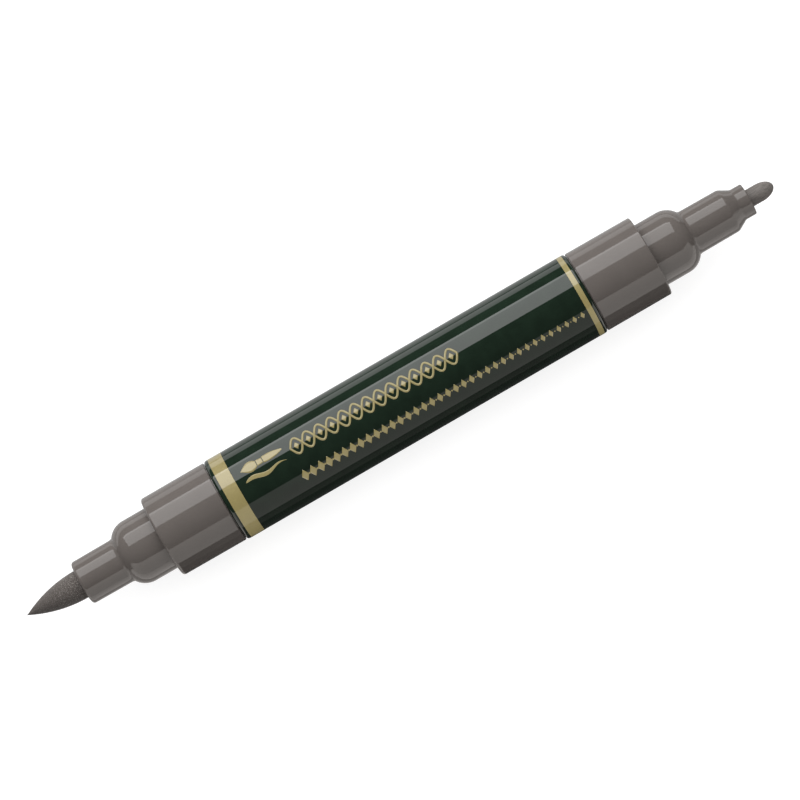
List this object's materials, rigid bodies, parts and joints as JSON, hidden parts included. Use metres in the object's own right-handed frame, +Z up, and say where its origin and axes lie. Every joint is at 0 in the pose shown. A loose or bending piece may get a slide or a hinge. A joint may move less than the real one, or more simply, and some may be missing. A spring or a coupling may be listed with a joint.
{
  "type": "felt tip marker",
  "caption": "Slim round marker with a tapered brush tip at one end and a narrow bullet tip at the other, its caps off, with a fibre ink reservoir inside.",
  "frame": {"origin": "on the table that the marker lies on, under the middle of its length from tip to tip", "axes": "+X along the marker towards the fine tip, -X towards the brush tip, +Z up"},
  "size_m": [0.1348, 0.014, 0.014],
  "materials": {
    "barrel_plastic": "gloss, very dark green",
    "gold_foil": "satin gold foil",
    "reservoir_fibre": "matte bonded fibre, soaked with ink",
    "clear_film": "gloss film",
    "grey_plastic": "gloss, warm grey",
    "nib_felt": "matte felt, warm grey",
    "nib_fibre": "matte bundled fibre, warm grey"
  },
  "bodies": {
    "barrel": {"barrel_tube": "barrel_plastic", "wide_gold_band": "gold_foil", "narrow_gold_band": "gold_foil", "reservoir_core": "reservoir_fibre", "reservoir_film": "clear_film", "brush_collar": "grey_plastic", "brush_holder": "grey_plastic", "fine_collar": "grey_plastic", "fine_holder": "grey_plastic"},
    "brush_nib": {"brush_nib_shank": "nib_felt"},
    "brush_tip": {"brush_nib_tip": "nib_felt"},
    "fine_nib": {"fine_nib": "nib_fibre"}
  },
  "joints": [
    {"name": "brush_nib_pull", "type": "slide", "parent": "barrel", "child": "brush_nib", "axis": [-1, 0, 0], "range_m": [0, 0.018]},
    {"name": "brush_bend", "type": "hinge", "parent": "brush_nib", "child": "brush_tip", "pos_m": [-0.0587, 0, 0.007], "axis": [0, 1, 0], "range_deg": [-25, 25], "stiffness_Nm_per_rad": 0.01},
    {"name": "fine_nib_pull", "type": "slide", "parent": "barrel", "child": "fine_nib", "axis": [1, 0, 0], "range_m": [0, 0.02]}
  ]
}
